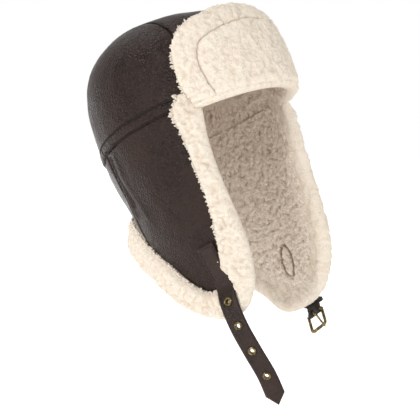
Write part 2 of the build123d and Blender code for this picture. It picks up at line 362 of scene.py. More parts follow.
class Patch:
    """A closed sheet over an outline made of strokes, each (points, roll) or (points, roll, floor).

    The sheet's front and back close on its middle level within roll mm of a stroke; a floor above 0
    leaves that share of its thickness at the stroke, and a roll of 0 cuts it off square.
    """

    def __init__(self, surface, strokes, spacing, levels, holes=(), seed=0):
        lines = [(curve(stroke[0], spacing), *stroke[1:]) for stroke in strokes]
        polygon = np.vstack([line[0][:-1] for line in lines])
        self.flat, self.faces = filled(polygon, list(holes), spacing, seed)
        lines += [(np.vstack([ring, ring[:1]]), 1.2) for ring in holes]
        groups = {}
        for line, *kind in lines:
            groups.setdefault(tuple(kind), []).extend(segments(line))
        self.surface = surface
        self.depth = np.full(len(self.flat), 1e3)
        self.rise = np.ones(len(self.flat))
        moved = self.flat.copy()
        for (roll, *floor), lines in groups.items():
            if roll == 0:
                continue
            low = floor[0] if floor else 0.04
            near, spot = nearest_on(lines, self.flat)
            turn = np.clip(near / roll, 0, 1) * pi / 2
            shrink = roll * (1 - np.cos(turn)) / np.maximum(near, 1e-9)
            rolled = (near < roll) & (near < self.depth)
            moved[rolled] = (spot + (self.flat - spot) * shrink[:, None])[rolled]
            self.rise = np.minimum(self.rise, low + (1 - low) * np.sin(turn))
            self.depth = np.minimum(self.depth, near)
        self.flat = moved
        self.front, self.back = levels[0], levels[1]
        self.middle = (self.front + self.back) / 2 if len(levels) < 3 else levels[2]
        self.base = surface(self.flat, np.zeros(len(self.flat)))

    def solid(self, add_front, add_back):
        """Points and faces of the closed sheet, with extra height on its front and back."""
        front = self.middle + (self.front - self.middle) * self.rise + add_front
        back = self.middle + (self.back - self.middle) * self.rise + add_back
        count = len(self.flat)
        top, under = self.surface(self.flat, front), self.surface(self.flat, back)
        f = self.faces
        normal = np.cross(top[f[:, 1]] - top[f[:, 0]], top[f[:, 2]] - top[f[:, 0]])
        outward = self.surface(self.flat, front + 1)[f[:, 0]] - top[f[:, 0]]
        if (normal * outward).sum() < 0:
            f = f[:, ::-1]
        sides = [(b, a, a + count, b + count) for a, b in rim_edges(f)]
        return np.vstack([top, under]), [*f.tolist(), *(f[:, ::-1] + count).tolist(), *sides]


# ---------- fleece
TUFT_RINGS, TUFT_SIDES = 4, 5
TUFT_PITCH = 1.15                             # mm between tufts along a fringe
FREE = 99.0                                   # limit where nothing presses on the pile


def locks(roots, directions, size, thick, rng):
    """Plump curled tufts of wool, as points and faces."""
    count = len(roots)
    side = unit(np.cross(directions, rng.normal(size=(count, 3))))
    other = np.cross(directions, side)
    size = size * rng.uniform(0.6, 1.3, count)[:, None]
    bend = rng.uniform(0.1, 0.5, count)[:, None] * size
    points = []
    for ring in range(TUFT_RINGS):
        t = ring / TUFT_RINGS
        middle = roots + directions * size * (t - 0.2) + side * bend * t * t
        radius = thick / 2 * (0.75 + 1.2 * t - 1.7 * t * t) * rng.uniform(0.85, 1.15, count)[:, None]
        for k in range(TUFT_SIDES):
            a = 2 * pi * k / TUFT_SIDES + 0.5 * ring
            points.append(middle + radius * (side * cos(a) + other * sin(a)))
    points.append(roots + directions * size * 0.72 + side * bend)
    points = np.stack(points, axis=1)
    n = TUFT_SIDES
    faces = [tuple(range(n))[::-1], *ring_faces(TUFT_RINGS, n)]
    top = n * (TUFT_RINGS - 1)
    faces += [(top + k, top + (k + 1) % n, n * TUFT_RINGS) for k in range(n)]
    stride = n * TUFT_RINGS + 1
    # Rising along each tuft, so the wool material paints its root in shade and its end in light.
    tips = np.tile(np.r_[np.repeat(np.linspace(0.55, 0.9, TUFT_RINGS), n), 0.95], count)
    every = [tuple(i + j * stride for i in f) for j in range(count) for f in faces]
    return points.reshape(-1, 3), every, tips


def groove(patch, lines, depth, width):
    """Dip along sewn lines."""
    near, _ = nearest_on([seg for line in lines for seg in segments(line)], patch.flat)
    return -depth * np.exp(-(near / width) ** 2)


def beside(line, way):
    """Unit vectors across a fringe's line, on the side that way points to near its start."""
    ahead = np.gradient(curve(line, TUFT_PITCH), axis=0)
    across = unit(np.c_[ahead[:, 1], -ahead[:, 0]])
    return across * np.sign((across[5] * way).sum())


def fleece(name, patch, material, clump, amplitude, seed, limit=None, fringe=None):
    """Woolly solid: long lumps of curls on its faces, and a fringe of tufts along a line."""
    lay = stretched(patch.base, UP, 0.55)
    lumps, fine = curls(lay, clump, seed), curls(patch.base, clump * 0.5, seed + 31)
    broad = swell(patch.base, 3.2 * clump, seed + 47)
    height = amplitude * (0.6 * broad + 1.4 * (lumps - 0.6) + 1.3 * (fine - 0.6))
    soft = 0.35 + 0.65 * patch.rise
    front = height * soft
    if limit is not None:
        level = patch.middle + (patch.front - patch.middle) * patch.rise
        front = np.minimum(level + front, limit) - level
    back = -amplitude * 1.1 * (curls(lay, clump * 0.8, seed + 5) - 0.6) * soft
    points, faces = patch.solid(front, back)
    # How far the pile stands out; the wool material turns it into painted shade in the hollows and painted
    # light on the tops.
    tip = np.clip(0.15 + 0.35 * lumps + 0.5 * fine + 0.08 * broad, 0, 1)
    tips = np.r_[tip, tip]
    if fringe is not None:
        rng = np.random.default_rng(seed)
        line, inward, level, tuft = fringe
        line = curve(line, TUFT_PITCH)
        wave = swell(np.c_[line, 0 * line[:, 0]], 7.0, seed + 3)[:, None]
        line = line + inward * (1.1 * wave - 0.4) + rng.normal(0, 0.5, line.shape)
        if limit is not None:
            pressed = patch.flat[limit < FREE]
            gap = np.linalg.norm(line[:, None] - pressed[None], axis=2).min(axis=1)
            line, inward = line[gap > 2.5], inward[gap > 2.5]
        roots = patch.surface(line - 1.2 * inward, np.full(len(line), level))
        ahead = patch.surface(line + 2 * inward, np.full(len(line), level + 0.8)) - roots
        lean = unit(ahead / 3.6 + rng.normal(0, 0.3, roots.shape))
        extra, more, extra_tips = locks(roots, lean, *tuft, rng)
        faces = faces + [tuple(i + len(points) for i in f) for f in more]
        points, tips = np.vstack([points, extra]), np.r_[tips, extra_tips]
    return make_object(name, points, faces, material, tips)


# ---------- materials
class Finish:
    """A new material with a Principled shader, and a way to add its nodes."""

    def __init__(self, name, colour, rough):
        self.material = bpy.data.materials.new(name)
        self.material.use_nodes = True
        self.tree = self.material.node_tree
        self.shader = self.tree.nodes["Principled BSDF"]
        self.put(self.shader, Base_Color=(*colour, 1), Roughness=rough)
        self.place = self.node("TexCoord").outputs["Object"]

    def feed(self, socket, value):
        """Link a socket to another node's output, or set its value."""
        if hasattr(value, "is_output"):
            self.tree.links.new(value, socket)
        else:
            socket.default_value = value

    def put(self, node, **inputs):
        for key, value in inputs.items():
            self.feed(node.inputs[key.replace("_", " ")], value)

    def node(self, kind, **inputs):
        made = self.tree.nodes.new("ShaderNode" + kind)
        self.put(made, **inputs)
        return made

    def noise(self, scale, detail, **more):
        return self.node("TexNoise", Vector=self.place, Scale=scale, Detail=detail, **more).outputs["Fac"]

    def ramp(self, factor, stops):
        """Colour ramp over (place, colour) stops."""
        made = self.node("ValToRGB", Fac=factor)
        band = made.color_ramp
        for place, colour in stops[2:]:
            band.elements.new(place)
        for element, (place, colour) in zip(band.elements, sorted(stops)):
            element.position = place
            element.color = (*colour, 1)
        return made.outputs["Color"]

    def spread(self, value, low, high, to_low, to_high):
        """A value's range from low to high, mapped to another range."""
        made = self.node("MapRange", Value=value, From_Min=low, From_Max=high, To_Min=to_low, To_Max=to_high)
        return made.outputs["Result"]

    def multiply_add(self, kind, *values):
        made = self.node(kind)
        made.operation = "MULTIPLY_ADD"
        for socket, value in zip(made.inputs, values):
            self.feed(socket, value)
        return made.outputs[0]

    def total(self, parts, start=0.0):
        """Start plus each (value, weight)."""
        for value, weight in parts:
            start = self.multiply_add("Math", value, weight, start)
        return start

    def relief(self, strength, distance, height):
        bump = self.node("Bump", Strength=strength, Distance=distance, Height=height)
        self.put(self.shader, Normal=bump.outputs["Normal"])


def leather_material(name, dark, light, rough, grain, bump, specular=0.32):
    """Pebbled hide: cells of grain mm, finer pores, wrinkles, and patches of gloss."""
    finish = Finish(name, light, rough)
    patches = finish.noise(30.0, 4.0, Roughness=0.6)
    fine = finish.noise(1100.0, 3.0)
    wrinkles = finish.noise(150.0, 3.0, Distortion=1.5)
    cells = finish.node("TexVoronoi", Vector=finish.place, Scale=1000.0 / grain, Randomness=1.0)
    cells.feature = "SMOOTH_F1"
    pebbles = cells.outputs["Distance"]
    shade = finish.total([(patches, 0.8), (pebbles, -0.25)], 0.1)
    finish.put(finish.shader, Specular_IOR_Level=specular,
               Base_Color=finish.ramp(shade, [(0.2, dark), (0.62, light)]),
               Roughness=finish.spread(patches, 0.35, 0.65, rough - 0.08, rough + 0.14))
    finish.relief(bump, 0.0007, finish.total([(pebbles, -1.0), (fine, 0.25), (wrinkles, 1.1)]))
    return finish.material


def fleece_material(name, crease_shade, body, tip, lines, curl=3.0, lift=0.0):
    """Wool: painted shade darkens the creases between curls of curl mm (by lines), painted light makes the
    tips paler; soft and matt.
    """
    finish = Finish(name, body, 0.95)
    finish.put(finish.shader, Specular_IOR_Level=0.1, Sheen_Weight=0.05, Sheen_Roughness=0.6)
    tips = finish.node("Attribute")
    tips.attribute_name = "tip"
    patches = finish.noise(60.0, 4.0, Roughness=0.65)
    fibres = finish.noise(420.0, 5.0, Roughness=0.7, Distortion=2.0)
    bend = finish.node("TexNoise", Vector=finish.place, Scale=330.0, Detail=2.0).outputs["Color"]
    bent = finish.multiply_add("VectorMath", bend, (0.0045, 0.0045, 0.0045), finish.place)
    cells = finish.node("TexVoronoi", Vector=bent, Scale=1000.0 / curl, Randomness=1.0)
    cells.feature = "DISTANCE_TO_EDGE"
    edge = cells.outputs["Distance"]
    # Dark lines along the curls' cell edges: painted shade in the creases.
    between = finish.spread(edge, 0.0, 0.16, -lines, 0.0)
    parts = [(tips.outputs["Fac"], 0.75), (patches, 0.3), (fibres, 0.6), (between, 1.0)]
    # Lowest stop is painted shade for the creases, highest stop painted light on the tips.
    stops = [(0.0, crease_shade), (0.95, tip), (0.5, body)]
    finish.put(finish.shader, Base_Color=finish.ramp(finish.total(parts, lift - 0.43), stops))
    finish.relief(0.9, 0.0012, finish.total([(fibres, 1.0), (edge, 1.6)]))
    return finish.material


def brass_material(name):
    """Antique brass: noise patches of painted highlight and of dark brown tarnish, slightly hammered."""
    finish = Finish(name, (0.4, 0.28, 0.1), 0.38)
    tarnish_and_highlight = finish.noise(320.0, 5.0, Roughness=0.65)
    dents = finish.node("TexVoronoi", Vector=finish.place, Scale=420.0).outputs["Distance"]
    # Darkest stop is brown tarnish, brightest stop a painted highlight, the middle the brass's own colour.
    stops = [(0.36, (0.03, 0.02, 0.009)), (0.68, (0.46, 0.36, 0.16)), (0.52, (0.17, 0.125, 0.05))]
    finish.put(finish.shader, Metallic=1.0, Base_Color=finish.ramp(tarnish_and_highlight, stops),
               Roughness=finish.spread(tarnish_and_highlight, 0.3, 0.7, 0.52, 0.28))
    finish.relief(0.35, 0.0006, dents)
    return finish.material


HIDE = leather_material("hide", (0.0122, 0.0058, 0.0042), (0.0305, 0.0168, 0.0123), 0.27, 1.7, 1.25, 0.15)
STRAP_HIDE = leather_material("strap_hide", (0.014, 0.0078, 0.006), (0.04, 0.023, 0.018), 0.32, 1.6, 0.7,
                              0.18)
TAB_HIDE = leather_material("tab_hide", (0.008, 0.0055, 0.005), (0.026, 0.019, 0.017), 0.5, 0.9, 0.4, 0.3)
# Wool colours: painted crease shade, then the body colour, then paler painted-lit tips.
CREAM = fleece_material("cream_wool", (0.69, 0.582, 0.465), (0.808, 0.71, 0.592), (0.838, 0.755, 0.655), 0.2)
TAUPE = fleece_material("taupe_wool", (0.36, 0.27, 0.20), (0.78, 0.655, 0.54), (0.90, 0.81, 0.71),
                        0.5, 3.6, 0.4)
BRASS = brass_material("antique_brass")
# Dark thread for the stitches, also used for the dark tubes laid in seams as painted shadow.
THREAD_AND_SEAM_SHADE = leather_material("thread", (0.006, 0.004, 0.0035), (0.016, 0.011, 0.009), 0.7, 0.5, 0.3)


# ---------- outlines of the wall
LEATHER_FRONT = [(-39, 4), (-39, -12), (-39, -40), (-38, -72), (-35, -107), (-28, -140), (-19, -163),
                 (-9, -177), (-1, -180)]
LEATHER_REAR = [(-1, -180), (8, -176), (20, -165), (38, -140), (50, -125), (62, -110)]
TRIM_OUTER = [(-66, 0), (-64, -16), (-58, -50), (-55, -90), (-54, -128), (-50, -160), (-40, -188),
              (-24, -205), (-4, -208), (20, -197), (46, -176), (70, -150), (84, -132)]
LEFT_OUTER = [(-66, 0), (-64, -16), (-60, -50), (-57, -90), (-56, -128), (-52, -160), (-42, -185),
              (-24, -205), (0, -214), (24, -211), (42, -185), (66, -154), (84, -132)]
NAPE_SEAM = 62.0
CENTRE_BACK = ROUND * pi / 2
NAPE_EDGE_RISE, NAPE_TRIM_RISE = -69.0, -119.0


def dip(round_at):
    """How far the band hangs below the crown seam's level towards the back."""
    return 7.0 * smoothstep(20, 130, np.abs(round_at))


def band_line(start, end, below, count=9):
    """Points along the band's upper edge (below = 0) or lower edge, from start to end."""
    at = np.linspace(start, end, count)
    return [(x, -dip(min(x, 2 * CENTRE_BACK - x)) - below) for x in at]


leather_front = side_view(LEATHER_FRONT)
leather_rear = side_view(LEATHER_REAR)
trim_top = side_view([(-47, 2)])
trim_outer = {RIGHT_SIDE: side_view(TRIM_OUTER), LEFT_SIDE: side_view(LEFT_OUTER)}
nape_seam = side_view([(NAPE_SEAM, -14), (NAPE_SEAM, -60), (NAPE_SEAM, -112)])
nape_seam[-1] = leather_rear[-1]
nape_edge = np.array([leather_rear[-1], (90, -91), (118, -76), (CENTRE_BACK, NAPE_EDGE_RISE)])
nape_trim_edge = np.array([trim_outer[RIGHT_SIDE][-1], (132, -122), (CENTRE_BACK, NAPE_TRIM_RISE)])
for line in (nape_edge, nape_trim_edge):
    line[-1, 1] = rise_at(line[-1, 1])

FOLD_AT = np.array([-85.5, 20.0, -81.3])      # a point on the ear flap's fold, left-back-up
FOLD_DOWN = np.array([0, -0.582, -0.813])     # across the fold, down the flap
FOLD_REACH = 15.0                             # how far on either side of the fold its two end points lie


def named(side, rest):
    return ("right_" if side == RIGHT_SIDE else "left_") + rest


def over_fold(thing, side, slot, *nodes):
    """Hide the CAD nodes that a soft piece over its ear flap's fold stands in for, and bake its place into
    its mesh.
    """
    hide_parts(*nodes)
    middle = FOLD_AT * (-side, 1, 1)
    start, end = (world(*(middle + way * FOLD_REACH * FOLD_DOWN)) for way in (-1, 1))
    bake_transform(thing)


# ---------- leather
def creases(patch, folds):
    """Height of soft folds in the hide: (line, height, width) in (round, rise)."""
    total = np.zeros(len(patch.flat))
    for line, height, width in folds:
        near, _ = nearest_on(segments(curve(line, 3)), patch.flat)
        total += height * np.exp(-(near / width) ** 2)
    return total


def hide_relief(patch, seed, strength=1.0):
    """Slack and puckers of soft leather."""
    base = patch.base
    slack = 0.7 * swell(base, 34, seed) + 0.35 * swell(base, 15, seed + 1)
    pucker = 0.16 * swell(base * (1, 1, 0.4), 6, seed + 2)
    return strength * (slack + pucker)


def seam_shadow_cord(name, surface, line, thick, out):
    """Dark tube laid in a seam as painted shadow; a line that ends where it starts makes a ring."""
    line = curve(line, 3.0)
    closed = np.linalg.norm(surface(line[:1], [0.0]) - surface(line[-1:], [0.0])) < 2
    line = line[:-1] if closed else line
    points = surface(line, np.full(len(line), out))
    ahead = around(points) if closed else np.gradient(points, axis=0)
    outward = surface(line, np.full(len(line), out + 1.0)) - points
    side = unit(np.cross(ahead, outward))
    attach(make_object(name, *tube(points, side, outward, thick, thick, 8, closed), THREAD_AND_SEAM_SHADE), "leather", "hat")


def hide(name, surface, strokes, folds=(), seed=0, spacing=2.2, strength=1.0, dents=()):
    """Sheet of leather with its slack, its folds and its dents."""
    patch = Patch(surface, [(line, 1.6) for line in strokes], spacing, (0.0, -LEATHER), seed=seed)
    relief = (hide_relief(patch, seed, strength) + creases(patch, folds)) * smoothstep(0, 9, patch.depth)
    push = pushed(patch.base, dents)
    return make_object(name, *patch.solid(relief + push, np.minimum(relief, 0) + push), HIDE)


def side_skin(side):
    """Hide of the hat's side and ear flap, in one piece over the fold."""
    top = band_line(nape_seam[0, 0], leather_front[1, 0], BAND_DEPTH)
    front = np.vstack([top[-1], leather_front[2:]])
    seam = np.vstack([nape_seam[::-1][:-1], top[0]])
    strokes = [top, front, leather_rear, seam]
    folds = [([(66, -16), (68, -45), (66, -80)], 2.0, 3.2), ([(58, -18), (60, -40), (57, -70)], -1.6, 3.0),
             ([(48, -20), (50, -50), (44, -85)], 1.0, 4.0), ([(20, -150), (-8, -120)], 0.7, 7.0),
             ([(-20, -60), (30, -90)], -0.8, 9.0)]
    skin = hide(named(side, "side_hide"), wall(side), strokes, folds, seed=21 + side)
    over_fold(skin, side, "leather", named(side, "side_leather"), named(side, "flap_leather"))


def nape_skin():
    """Hide across the nape, from seam to seam."""
    mirror = lambda line: np.array(line)[::-1] * (-1, 1) + (2 * CENTRE_BACK, 0)
    seam = nape_seam + (0.6, 0)
    seam[0, 1] = -dip(seam[0, 0]) - BAND_DEPTH
    edge = np.vstack([nape_edge, mirror(nape_edge)[1:]])
    edge[0] = seam[-1]
    edge[-1] = (2 * CENTRE_BACK - seam[-1, 0], seam[-1, 1])
    top = band_line(2 * CENTRE_BACK - seam[0, 0], seam[0, 0], BAND_DEPTH)
    strokes = [seam, edge, mirror(seam), top]
    folds = [([(110, -20), (112, -70)], 1.2, 6.0), ([(150, -25), (152, -80)], -1.0, 8.0),
             ([(190, -20), (188, -60)], 1.2, 6.0)]
    skin = hide("nape_hide", wall(RIGHT_SIDE), strokes, folds, seed=40, dents=[((-45, 84, -80), -2.0, 30)])
    attach(skin, "leather", "hat", "nape_leather")
    # Dark tubes in the nape's two seams, as painted shadow.
    for side in (RIGHT_SIDE, LEFT_SIDE):
        seam_shadow_cord(named(side, "nape_seam"), wall(side), nape_seam + (0.3, 0), 1.5, -0.5)


def band_skin():
    """Leather strip all round under the crown seam, sewn from four lengths."""
    for i, (start, end) in enumerate([(-60, 66), (66, 242), (242, 368), (368, 555.75)]):
        top, low = band_line(start, end, 0.3), band_line(end, start, BAND_DEPTH - 0.3)
        strokes = [(line, 1.5) for line in (top, [top[-1], low[0]], low, [low[-1], top[0]])]
        patch = Patch(wall(RIGHT_SIDE), strokes, 1.6, (1.5, -LEATHER), seed=60 + i)
        relief = hide_relief(patch, 61 + i, 0.35)
        strip = make_object(f"band_strip_{i + 1}", *patch.solid(relief, 0 * relief), HIDE)
        attach(strip, "leather", "hat", "hat_band")


# ---------- crown
UNDER_BAND = 1.4                                   # the crown's hem goes this far under the band
SEAM_PLAN = [(-84, -130), (-78, -80), (-68, -56), (-53, -25), (-46, 10), (-42, 50), (-38, 85), (-35, 130)]


def disc_from_plan(points):
    """Plan points (left, back) on the crown, as places on the flat disc."""
    found = []
    rises = np.linspace(0, CROWN_RISE, 400)
    _, half, length, centre = hermite(RISE, FORM, rises).T
    for x, s in points:
        over = (x / half) ** 2 + ((s - centre) / length) ** 2
        i = int(np.argmin(np.abs(over - 1)))
        angle = np.arctan2((s - centre[i]) / length[i], -x / half[i])
        radius = CROWN_RISE - rises[i]
        found.append((-radius * cos(angle), radius * sin(angle)))
    return np.array(found)


def disc_edge(start, end):
    """The crown's lower edge on the disc, between two angles from the right ear."""
    at = np.linspace(start, end, 15)
    turned = np.abs(np.where(at > pi, at - 2 * pi, at))
    behind = np.where(np.sin(at) > 0, dip(ROUND * np.minimum(turned, pi - turned)), 0)
    radius = CROWN_RISE + UNDER_BAND + behind
    return np.c_[-radius * np.cos(at), radius * np.sin(at)]


def crown():
    """The crown's three panels."""
    plan = curve(SEAM_PLAN, 4)
    _, half, length, centre = FORM[list(FORM[:, 0]).index(0)]
    on_crown = (plan[:, 0] / half) ** 2 + ((plan[:, 1] - centre) / length) ** 2 < 0.97
    seam = disc_from_plan(plan[on_crown])
    front_angle, rear_angle = (float(np.arctan2(p[1], -p[0])) for p in (seam[0], seam[-1]))
    seam = np.vstack([disc_edge(front_angle, front_angle + 0.01)[:1], seam[1:-1],
                      disc_edge(rear_angle, rear_angle + 0.01)[:1]])
    step = max(1, len(seam) // 12)
    seam = np.vstack([seam[:-1:step], seam[-1:]])
    gap = np.array([0.15, 0])
    mirrored = (-1, 1)
    right_seam, centre_seam = seam - gap, seam + gap
    right_edge = disc_edge(rear_angle, front_angle)
    right_edge[0], right_edge[-1] = right_seam[-1], right_seam[0]
    front_arc = disc_edge(front_angle, -pi - front_angle)
    front_arc[0], front_arc[-1] = centre_seam[0], centre_seam[0] * mirrored
    rear_arc = disc_edge(pi - rear_angle, rear_angle)
    rear_arc[0], rear_arc[-1] = centre_seam[-1] * mirrored, centre_seam[-1]
    right = [right_seam, right_edge]
    left = [(line * mirrored)[::-1] for line in right]
    centre_panel = [centre_seam[::-1], front_arc, centre_seam * mirrored, rear_arc]
    ridge = [(seam[2:-2] - (5, 0), 1.1, 3.5)]
    # Dark tubes in the two seams between the panels, as painted shadow.
    for name, line in (("crown_right_seam_shadow", seam), ("crown_left_seam_shadow", seam * mirrored)):
        seam_shadow_cord(name, dome, line[1:-1], 1.1, -0.3)
    for name, strokes, folds, seed in (("crown_right", right, ridge, 3), ("crown_left", left, [], 4),
                                       ("crown_centre", centre_panel, [], 5)):
        panel = hide(name + "_hide", dome, strokes, folds, seed=seed, spacing=2.6, strength=0.9)
        attach(panel, "leather", "hat", name + "_panel")


# ---------- fleece round the edges
STRAP_GAP = 0.6                               # between a strap and the pile under it


def strap_press(patch, path, half_width, thick):
    """Highest level that lets a strap lie on the pile, and FREE where no strap lies."""
    limit = np.full(len(patch.flat), FREE)
    left, back, up = np.array(path, float)[:, :3].T
    place = side_view(np.c_[back, up])
    rows = hermite(RISE, FORM, place[:, 1])
    level = np.abs(left) - rows[:, 1] * np.cos(place[:, 0] / ROUND)
    near, _ = nearest_on(segments(place), patch.flat)
    under = near < half_width
    allowed = np.interp(-patch.flat[:, 1], -place[:, 1], level) - thick / 2 - STRAP_GAP
    limit[under] = allowed[under]
    return limit


NAPE_FULLNESS = 11.0                          # how much further the trim stands out across the nape
TRIM_OUT, TRIM_IN, TRIM_MIDDLE = 8.0, -8.6, -1.0
TEMPLE_THIN = 5.5                             # how much thinner the trim is at the temple


def trim(side, strap_path, half_width, thick):
    """Cream fleece round the ear flap, from the temple to the middle of the nape."""
    inner = np.vstack([trim_top, leather_front[1:-1] + (0, 3), leather_rear[:-1], nape_edge])
    outer = np.vstack([nape_trim_edge[::-1][:-1], trim_outer[side][::-1]])
    inner[:, 1] += 5 * smoothstep(90, 125, inner[:, 0])
    inner[-1] += (1.5, 0)
    outer[0] += (1.5, 0)
    strokes = [(inner, 6.0), ([inner[-1], outer[0]], 0), (outer, 8.5), ([outer[-1], inner[0]], 6.0)]
    patch = Patch(wall(side), strokes, 1.25, (TRIM_OUT, TRIM_IN, TRIM_MIDDLE), seed=81 + side)
    round_at, rise = patch.flat.T
    full = smoothstep(80, 125, round_at) * smoothstep(2, 22, patch.depth)
    patch.front = TRIM_OUT + NAPE_FULLNESS * full - TEMPLE_THIN * smoothstep(-30, -12, rise)
    limit = strap_press(patch, strap_path, half_width, thick)
    roll = fleece(named(side, "trim"), patch, CREAM, 6.5, 1.5, 83 + side, limit=limit,
                  fringe=(inner, beside(inner, (1, 0)), 0.9, (4.6, 3.0)))
    over_fold(roll, side, "cream_fleece", named(side, "temple_trim"), named(side, "flap_trim"), "nape_trim")


def lining(side):
    """Short taupe fleece inside the ear flap and the nape."""
    widen = np.array([(-14, 0), (-15, 0), (-14, 0), (-14, 0), (-15, -3), (-13, -9), (-7, -14), (0, -16)])
    front = leather_front[1:] + widen
    rear = np.vstack([front[-1], leather_rear[2:-1] + (6, -13), nape_edge[1:] + (0, -9)])
    rear[-1, 0] = CENTRE_BACK + 1
    top = [(CENTRE_BACK + 1, -11), (60, -11), (front[0, 0], -11)]
    front = np.vstack([top[-1], front[1:]])
    strokes = [(front, 3.5), (rear, 3.5), ([rear[-1], top[0]], 0), (top, 0)]
    patch = Patch(wall(side), strokes, 1.6, (-LEATHER - 0.4, LINING_FACE - 0.8, -6.0), seed=91 + side)
    dips = groove(patch, [oval_stitch()], 2.2, 1.2) if side == LEFT_SIDE else 0
    thing = short_fleece(named(side, "lining"), patch, (4.6, 94 + side, 1.6), (2.6, 97 + side, 0.9),
                         (20, 99, 0.5), dips)
    over_fold(thing, side, "taupe_fleece", named(side, "flap_lining"), "neck_lining")


def short_fleece(name, patch, lumps, fine, broad, dips=0):
    """Taupe fleece with a curly inner face, from noise of (size, seed, height)."""
    high, low = curls(patch.base, *lumps[:2]), curls(patch.base, *fine[:2])
    swollen = broad[2] * swell(patch.base, *broad[:2])
    height = lumps[2] * (high - 0.6) + fine[2] * (low - 0.6) + swollen + dips
    # Painted shade in the hollows and in the stitched groove's dips, painted light on the curls' tops.
    tip = np.clip(0.5 * high + 0.45 * low + 0.8 * dips, -0.6, 1)
    return make_object(name, *patch.solid(0 * height, -height), TAUPE, np.r_[tip, tip])


def oval_stitch():
    """Sewn oval that shows inside the left flap where the tab is fixed."""
    at = np.linspace(0, 2 * pi, 25)
    return side_view(np.c_[2 + 6.5 * np.cos(at), -166 + 17 * np.sin(at)])


def crown_lining():
    """Short taupe fleece inside the crown."""
    ring = disc_edge(-pi, pi)[:-1]
    ring = ring * (1 + 14 / CROWN_RISE)
    closed = np.vstack([ring, ring[:1]])
    patch = Patch(dome, [(closed, 3.5)], 2.4, (-LEATHER - 0.4, LINING_FACE, -5.5), seed=101)
    thing = short_fleece("crown_lining_fleece", patch, (5.0, 103, 1.5), (3.0, 107, 0.8), (22, 105, 0.4))
    attach(thing, "taupe_fleece", "hat", "crown_lining")


# ---------- front flap
BORDER = 22.0
FLAP_IN, FLAP_MIDDLE, FLAP_OUT = 1.2, 5.5, 10.0
CENTRE_FRONT = -ROUND * pi / 2
FAR_DROOP, FAR_THIN = 18.0, 4.5              # how far the flap's left top corner sags and thins


def flap_points(inset):
    """Half of the turned-up flap's outline from its lower right corner to the top's middle."""
    return [(-56 - inset, -13), (-52 - inset, 6), (-53 - inset, 29), (-59 - inset, 48 - 0.4 * inset),
            (-74 - 0.8 * inset, 61 - 0.8 * inset), (-98 - 0.3 * inset, 69 - inset),
            (CENTRE_FRONT, 71.5 - inset)]


def whole_flap(inset):
    """The outline's open line from one lower corner over the top to the other."""
    half = np.array(flap_points(inset))
    other = half[::-1][1:] * (-1, 1) + (2 * CENTRE_FRONT, 0)
    far = smoothstep(0, -45, other[:, 0] - CENTRE_FRONT)
    other[:, 1] -= FAR_DROOP * smoothstep(20, 60, other[:, 1]) * far
    return np.vstack([half, other])


def front_flap():
    """The turned-up flap: leather behind, a fleece centre and a sewn fleece border."""
    surface = wall(RIGHT_SIDE)
    low = lambda a, b, rise=-14.0: [a, ((a[0] + b[0]) / 2, rise), b]
    under, outer, seam = whole_flap(2.5), whole_flap(0), whole_flap(BORDER)
    back = Patch(surface, [(under, 1.5), (low(under[-1], under[0], -9.0), 1.5)], 2.6,
                 (FLAP_IN + LEATHER, FLAP_IN), seed=111)
    relief = hide_relief(back, 112, 0.3)
    leather = make_object("front_flap_hide", *back.solid(0 * relief, -relief), HIDE)
    levels = (FLAP_OUT, FLAP_IN + LEATHER + 0.2, FLAP_MIDDLE)
    panel = Patch(surface, [(seam, 4.5, 0.35), (low(seam[-1], seam[0]), 6.0)], 1.25, levels, seed=115)
    inner = seam[::-1]
    ends = [([outer[-1], inner[0]], 6.0), ([inner[-1], outer[0]], 6.0)]
    rim = Patch(surface, [(outer, 6.5), ends[0], (inner, 4.5, 0.35), ends[1]], 1.25, levels, seed=119)
    for patch in (panel, rim):
        patch.front = FLAP_OUT - FAR_THIN * smoothstep(-10, -75, patch.flat[:, 0] - CENTRE_FRONT)
    centre = fleece("front_flap_centre", panel, CREAM, 7.0, 0.85, 117)
    fringe = (outer, beside(outer, (1, 0)), 5.0, (4.8, 2.8))
    border = fleece("front_flap_edge", rim, CREAM, 7.0, 1.15, 121, fringe=fringe)
    attach(leather, "leather", "front_flap", "front_flap_leather")
    attach(centre, "cream_fleece", "front_flap", "front_flap_panel")
    attach(border, "cream_fleece", "front_flap", "front_flap_border")


def brow_roll():
    """The lining's rolled edge across the forehead."""
    ends = [ROUND * radians(a) for a in (-28, -152)]
    at = np.linspace(*ends, 9)
    top, low = [(x, -7.0) for x in at], [(x, -18.0) for x in at[::-1]]
    strokes = [(line, 4.5) for line in (top, [top[-1], low[0]], low, [low[-1], top[0]])]
    patch = Patch(wall(RIGHT_SIDE), strokes, 1.7, (5.5, -8.0), seed=131)
    attach(fleece("brow_roll", patch, CREAM, 5.0, 1.0, 133), "cream_fleece", "hat")


# ---------- straps
STRAP_W, STRAP_T = 19.0, 2.4
TAB_W, TAB_T = 18.5, 4.0
# Stations down the strap and the tab: left, back, up (from the crown seam), turn to the front
STRAP_PATH = [(-81.6, -14.5, -137, 5), (-78.4, -14.5, -155, 5), (-75.3, -15, -172, 6),
              (-75.2, -15.2, -176.2, 7), (-79.6, -16, -194, 10), (-79.0, -16.3, -218, 12),
              (-72.5, -16.1, -243.5, 14), (-63.5, -15, -269, 16), (-53, -9, -298, 18)]
EYELET_STATIONS = (4, 5, 6, 7)
TAB_PATH = [(81.2, 2, -145, -3), (77.8, 2, -165, -3), (75.0, 2, -180, -2), (74.4, 1.85, -187, 1),
            (79.8, 1.2, -200, 8), (79.4, 0.6, -212, 12), (75.6, -0.6, -223, 15)]


